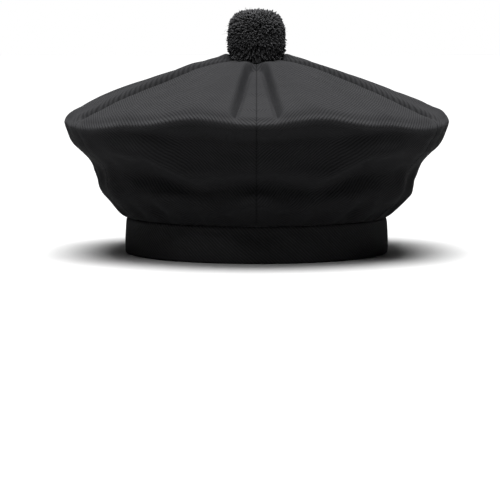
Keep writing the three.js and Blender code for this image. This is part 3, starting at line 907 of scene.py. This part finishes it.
def make_pompom(material):
    random = np.random.default_rng(7)
    ball = bmesh.new()
    bmesh.ops.create_icosphere(ball, subdivisions=4, radius=1)
    core_points = np.array([vertex.co for vertex in ball.verts])
    core_points *= core_share * pompom_reach(core_points)[:, None]
    core_points[:, 2] += pompom_middle
    core_faces = [[vertex.index for vertex in face.verts] for face in ball.faces]
    ball.free()
    ends = random.uniform(*yarn_tips, yarn_count)
    starts = np.full(yarn_count, yarn_foot)
    yarn = yarn_lines(yarn_count, starts, ends, yarn_bend, len(yarn_profile), random)
    thick = yarn_radius * random.uniform(*yarn_thickness, (yarn_count, 1))
    yarn_radii = thick * np.array(yarn_profile)
    ends = random.uniform(*fibre_tips, fibre_count)
    starts = np.full(fibre_count, fibre_foot)
    fibres = yarn_lines(fibre_count, starts, ends, fibre_bend, len(fibre_profile), random)
    fibre_radii = np.full((fibre_count, 1), fibre_radius) * np.array(fibre_profile)
    points = [core_points]
    faces = core_faces
    uv = [np.zeros((len(core_points), 2))]
    for lines, radii, sides in ((yarn, yarn_radii, 5), (fibres, fibre_radii, 3)):
        more, more_faces, more_uv = strands(lines, radii, sides)
        offset = sum(len(group) for group in points)
        faces += [[corner + offset for corner in face] for face in more_faces]
        points.append(more)
        uv.append(more_uv)
    pompom = add_mesh("pompom_strands", np.concatenate(points), faces, np.concatenate(uv), material, 80)
    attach(pompom, "root")
    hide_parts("pompom")


# Materials

class Nodes:
    """A material's node tree, with short ways to add nodes to it."""

    def __init__(self, name):
        self.material = bpy.data.materials.new(name)
        self.material.use_nodes = True
        self.tree = self.material.node_tree
        self.shader = next(node for node in self.tree.nodes if node.type == "BSDF_PRINCIPLED")

    def add(self, kind, inputs=None, **settings):
        node = self.tree.nodes.new(kind)
        for name, value in settings.items():
            setattr(node, name, value)
        for name, value in (inputs or {}).items():
            self.put(node.inputs[name], value)
        return node

    def put(self, socket, value):
        if isinstance(value, bpy.types.NodeSocket):
            self.tree.links.new(value, socket)
        else:
            socket.default_value = value

    def math(self, operation, a, b=0.0, c=0.0):
        node = self.add("ShaderNodeMath", operation=operation)
        for socket, value in zip(node.inputs, (a, b, c)):
            self.put(socket, value)
        return node.outputs[0]

    def noise(self, vector, scale, detail=2.0, roughness=0.5):
        inputs = {"Vector": vector, "Scale": scale, "Detail": detail, "Roughness": roughness}
        return self.add("ShaderNodeTexNoise", inputs).outputs["Fac"]

    def ramp(self, value, low, high, start=0.0, end=1.0):
        inputs = {"Value": value, "From Min": low, "From Max": high, "To Min": start, "To Max": end}
        return self.add("ShaderNodeMapRange", inputs, clamp=True).outputs["Result"]

    def colours(self, share, dark, light):
        node = self.add("ShaderNodeMix", data_type="RGBA", clamp_factor=False)
        self.put(node.inputs["Factor"], share)
        self.put(node.inputs[6], (*dark, 1))
        self.put(node.inputs[7], (*light, 1))
        return node.outputs[2]


def wave(nodes, u, v, across, angle, wander=None):
    """A value from 0 to 1 that rises and falls every so many millimetres along a direction on the cloth."""
    turned = math.radians(angle)
    along_it = nodes.math("MULTIPLY", v, math.sin(turned))
    along_it = nodes.math("ADD", nodes.math("MULTIPLY", u, math.cos(turned)), along_it)
    phase = nodes.math("MULTIPLY", along_it, 2 * math.pi / across)
    if wander is not None:
        phase = nodes.math("ADD", phase, wander)
    return nodes.math("MULTIPLY_ADD", nodes.math("SINE", phase), 0.5, 0.5)


def twill(name, dark, light, with_painted_light=False):
    """Black twill: diagonal ribs broken by their threads, and a soft nap. With painted light, its colour is
    darkened towards its seams and hem as painted shade, and lightened along the rim's fold as a painted
    highlight."""
    nodes = Nodes(name)
    place = nodes.add("ShaderNodeUVMap", uv_map="cloth").outputs["UV"]
    parts = nodes.add("ShaderNodeSeparateXYZ", {"Vector": place})
    u, v = parts.outputs["X"], parts.outputs["Y"]
    wander = nodes.math("MULTIPLY", nodes.noise(place, 0.06, 3), 9.0)
    rib = wave(nodes, u, v, rib_spacing, rib_angle, wander)
    rib = nodes.math("POWER", rib, 0.7)
    thread_wander = nodes.math("MULTIPLY", nodes.noise(place, 0.9, 2), 3.0)
    thread = wave(nodes, u, v, thread_spacing, rib_angle + thread_turn, thread_wander)
    fibre = nodes.noise(place, 2.6, 4, 0.7)
    nap = nodes.noise(place, 0.35, 4, 0.6)
    worn = nodes.noise(place, 0.022, 3, 0.55)
    height = nodes.math("MULTIPLY_ADD", thread, 0.22, rib)
    height = nodes.math("MULTIPLY_ADD", fibre, 0.35, height)
    height = nodes.math("MULTIPLY_ADD", nap, 0.35, height)
    bump = nodes.add("ShaderNodeBump", {"Strength": 0.6, "Distance": twill_bump, "Height": height})
    nodes.put(nodes.shader.inputs["Normal"], bump.outputs["Normal"])
    shade = nodes.ramp(fibre, 0.25, 0.75, 0.7, 1)
    shade = nodes.math("MULTIPLY", nodes.ramp(rib, 0.1, 0.9, 0.4, 1), shade)
    shade = nodes.math("MULTIPLY", shade, nodes.ramp(worn, 0.3, 0.7, 0.75, 1))
    shade = nodes.math("MULTIPLY", shade, nodes.ramp(nap, 0.3, 0.7, 0.85, 1))
    if with_painted_light:
        edge = nodes.add("ShaderNodeUVMap", uv_map="edge").outputs["UV"]
        edge = nodes.add("ShaderNodeSeparateXYZ", {"Vector": edge})
        # Painted shade: the colour darkens towards each seam and the hem, as if shade fell in their
        # grooves.
        shade = nodes.math("MULTIPLY", shade, nodes.ramp(edge.outputs["X"], 0.05, 0.9, 0.3, 1))
        # Painted highlight: the colour lightens along the rim's fold, broken up by the fibre noise.
        from_rim = nodes.math("ABSOLUTE", edge.outputs["Y"])
        rim_highlight = nodes.math("MULTIPLY", nodes.ramp(from_rim, 0.5, 4, 1.2, 0), nodes.ramp(fibre, 0.3, 0.6))
        shade = nodes.math("ADD", shade, rim_highlight)
    nodes.put(nodes.shader.inputs["Base Color"], nodes.colours(shade, dark, light))
    nodes.put(nodes.shader.inputs["Roughness"], nodes.ramp(nap, 0.3, 0.7, 0.82, 0.96))
    nodes.put(nodes.shader.inputs["Specular IOR Level"], 0.03)
    nodes.put(nodes.shader.inputs["Sheen Weight"], twill_sheen)
    nodes.put(nodes.shader.inputs["Sheen Roughness"], 0.7)
    nodes.put(nodes.shader.inputs["Sheen Tint"], (0.55, 0.56, 0.6, 1))
    return nodes.material


def satin(name, dark, light):
    """Lining cloth: smooth, with a fine close weave and a soft shine."""
    nodes = Nodes(name)
    place = nodes.add("ShaderNodeUVMap", uv_map="cloth").outputs["UV"]
    parts = nodes.add("ShaderNodeSeparateXYZ", {"Vector": place})
    weave = wave(nodes, parts.outputs["X"], parts.outputs["Y"], 0.9, 35)
    streak = nodes.noise(place, 0.5, 4, 0.6)
    cloud = nodes.noise(place, 0.03, 3)
    height = nodes.math("MULTIPLY_ADD", streak, 0.8, weave)
    bump = nodes.add("ShaderNodeBump", {"Strength": 0.3, "Distance": 0.00015, "Height": height})
    nodes.put(nodes.shader.inputs["Normal"], bump.outputs["Normal"])
    shade = nodes.math("MULTIPLY", nodes.ramp(weave, 0, 1, 0.6, 1), nodes.ramp(cloud, 0.3, 0.7, 0.65, 1))
    nodes.put(nodes.shader.inputs["Base Color"], nodes.colours(shade, dark, light))
    nodes.put(nodes.shader.inputs["Roughness"], nodes.ramp(streak, 0.3, 0.7, 0.34, 0.5))
    nodes.put(nodes.shader.inputs["Sheen Weight"], 0.15)
    return nodes.material


def wool(name, dark, light):
    """Yarn: plies that twist round each strand, with loose fibre."""
    nodes = Nodes(name)
    place = nodes.add("ShaderNodeUVMap", uv_map="cloth").outputs["UV"]
    parts = nodes.add("ShaderNodeSeparateXYZ", {"Vector": place})
    twist = nodes.math("MULTIPLY", parts.outputs["Y"], 0.45)
    twist = nodes.math("MULTIPLY_ADD", parts.outputs["X"], 3.0, twist)
    ply = nodes.math("SINE", nodes.math("MULTIPLY", twist, 2 * math.pi))
    ply = nodes.math("MULTIPLY_ADD", ply, 0.5, 0.5)
    where = nodes.add("ShaderNodeTexCoord").outputs["Object"]
    fibre = nodes.noise(where, 1600.0, 3, 0.7)
    tuft = nodes.noise(where, 160.0, 2)
    height = nodes.math("MULTIPLY_ADD", fibre, 0.6, ply)
    bump = nodes.add("ShaderNodeBump", {"Strength": 0.5, "Distance": 0.0003, "Height": height})
    nodes.put(nodes.shader.inputs["Normal"], bump.outputs["Normal"])
    shade = nodes.math("MULTIPLY", nodes.ramp(ply, 0, 1, 0.6, 1), nodes.ramp(tuft, 0.3, 0.7, 0.7, 1))
    nodes.put(nodes.shader.inputs["Base Color"], nodes.colours(shade, dark, light))
    nodes.put(nodes.shader.inputs["Roughness"], nodes.ramp(fibre, 0.3, 0.7, 0.85, 1))
    nodes.put(nodes.shader.inputs["Specular IOR Level"], 0.2)
    nodes.put(nodes.shader.inputs["Sheen Weight"], 0.2)
    nodes.put(nodes.shader.inputs["Sheen Roughness"], 0.6)
    nodes.put(nodes.shader.inputs["Sheen Tint"], (0.5, 0.5, 0.52, 1))
    return nodes.material


# Stage, light and camera

def make_floor():
    nodes = Nodes("pale_floor")
    where = nodes.add("ShaderNodeTexCoord").outputs["Object"]
    grain = nodes.noise(where, 3.0, 2)
    colour = nodes.colours(grain, (floor_dark,) * 3, (floor_light,) * 3)
    nodes.put(nodes.shader.inputs["Base Color"], colour)
    nodes.put(nodes.shader.inputs["Roughness"], 0.9)
    corners = [(x * floor_half, y * floor_half, 0) for x, y in ((-1, -1), (1, -1), (1, 1), (-1, 1))]
    mesh = bpy.data.meshes.new("floor")
    mesh.from_pydata(corners, [], [(0, 1, 2, 3)])
    mesh.materials.append(nodes.material)
    floor = bpy.data.objects.new("floor", mesh)
    bpy.context.scene.collection.objects.link(floor)


def aim(thing, place, target):
    way = np.array(target) - np.array(place)
    flat = math.hypot(way[0], way[1])
    thing.location = place
    thing.rotation_euler = (math.atan2(flat, -way[2]), 0, math.atan2(-way[0], way[1]))


def make_light(name, place, target, width, height, power):
    light = bpy.data.lights.new(name, "AREA")
    light.shape = "RECTANGLE"
    light.size = width
    light.size_y = height
    light.energy = power
    lamp = bpy.data.objects.new(name, light)
    aim(lamp, place, target)
    bpy.context.scene.collection.objects.link(lamp)


def make_sky():
    """Even light from all over the ceiling, so that the floor is white to its end."""
    light = bpy.data.lights.new("sky", "SUN")
    light.angle = math.radians(sky_angle)
    light.energy = sky_energy
    lamp = bpy.data.objects.new("sky", light)
    aim(lamp, (0, 0, 3), (0, -0.001, 0))
    bpy.context.scene.collection.objects.link(lamp)


def make_world():
    """Pale air that is brighter to the eye than it lights the hat."""
    world = bpy.data.worlds.new("studio")
    world.use_nodes = True
    tree = world.node_tree
    tree.nodes.clear()
    output = tree.nodes.new("ShaderNodeOutputWorld")
    mix = tree.nodes.new("ShaderNodeMixShader")
    path = tree.nodes.new("ShaderNodeLightPath")
    tree.links.new(path.outputs["Is Camera Ray"], mix.inputs["Fac"])
    for socket, strength in ((1, air_light), (2, air_look)):
        air = tree.nodes.new("ShaderNodeBackground")
        air.inputs["Strength"].default_value = strength
        air.inputs["Color"].default_value = (1, 1, 1, 1)
        tree.links.new(air.outputs["Background"], mix.inputs[socket])
    tree.links.new(mix.outputs["Shader"], output.inputs["Surface"])
    bpy.context.scene.world = world


def make_camera():
    camera = bpy.data.objects.new("camera", bpy.data.cameras.new("camera"))
    camera.data.sensor_width = 36
    camera.data.lens = camera_lens
    aim(camera, camera_place, camera_target)
    bpy.context.scene.collection.objects.link(camera)
    bpy.context.scene.camera = camera


make_camera()
make_world()
make_floor()
make_sky()
make_light("back", (0, 1.6, 1.25), (0, 0, 0.1), 2.0, 0.9, 9)
make_light("front", (-0.25, -1.35, 2.15), (0, 0, 0.08), 1.2, 0.6, 38)
bpy.context.scene.view_settings.view_transform = "Standard"

crown_material = twill("crown_twill", (0.0025, 0.0025, 0.0027), (0.0143, 0.0143, 0.015), with_painted_light=True)
# The band is the crown's twill with a lighter base colour: painted light that makes up for the shade the
# crown casts on it.
band_material_painted_lighter = twill("band_twill_painted_lighter", (0.0038, 0.0038, 0.004), (0.0245, 0.0245, 0.0255))
for number in range(gore_count):
    make_gore(number, crown_material)
make_stitches(crown_material)
make_band(band_material_painted_lighter)
make_lining(satin("lining_satin", (0.012, 0.012, 0.013), (0.028, 0.028, 0.03)))
make_pompom(wool("pompom_wool", (0.002, 0.002, 0.0023), (0.0068, 0.0068, 0.0073)))
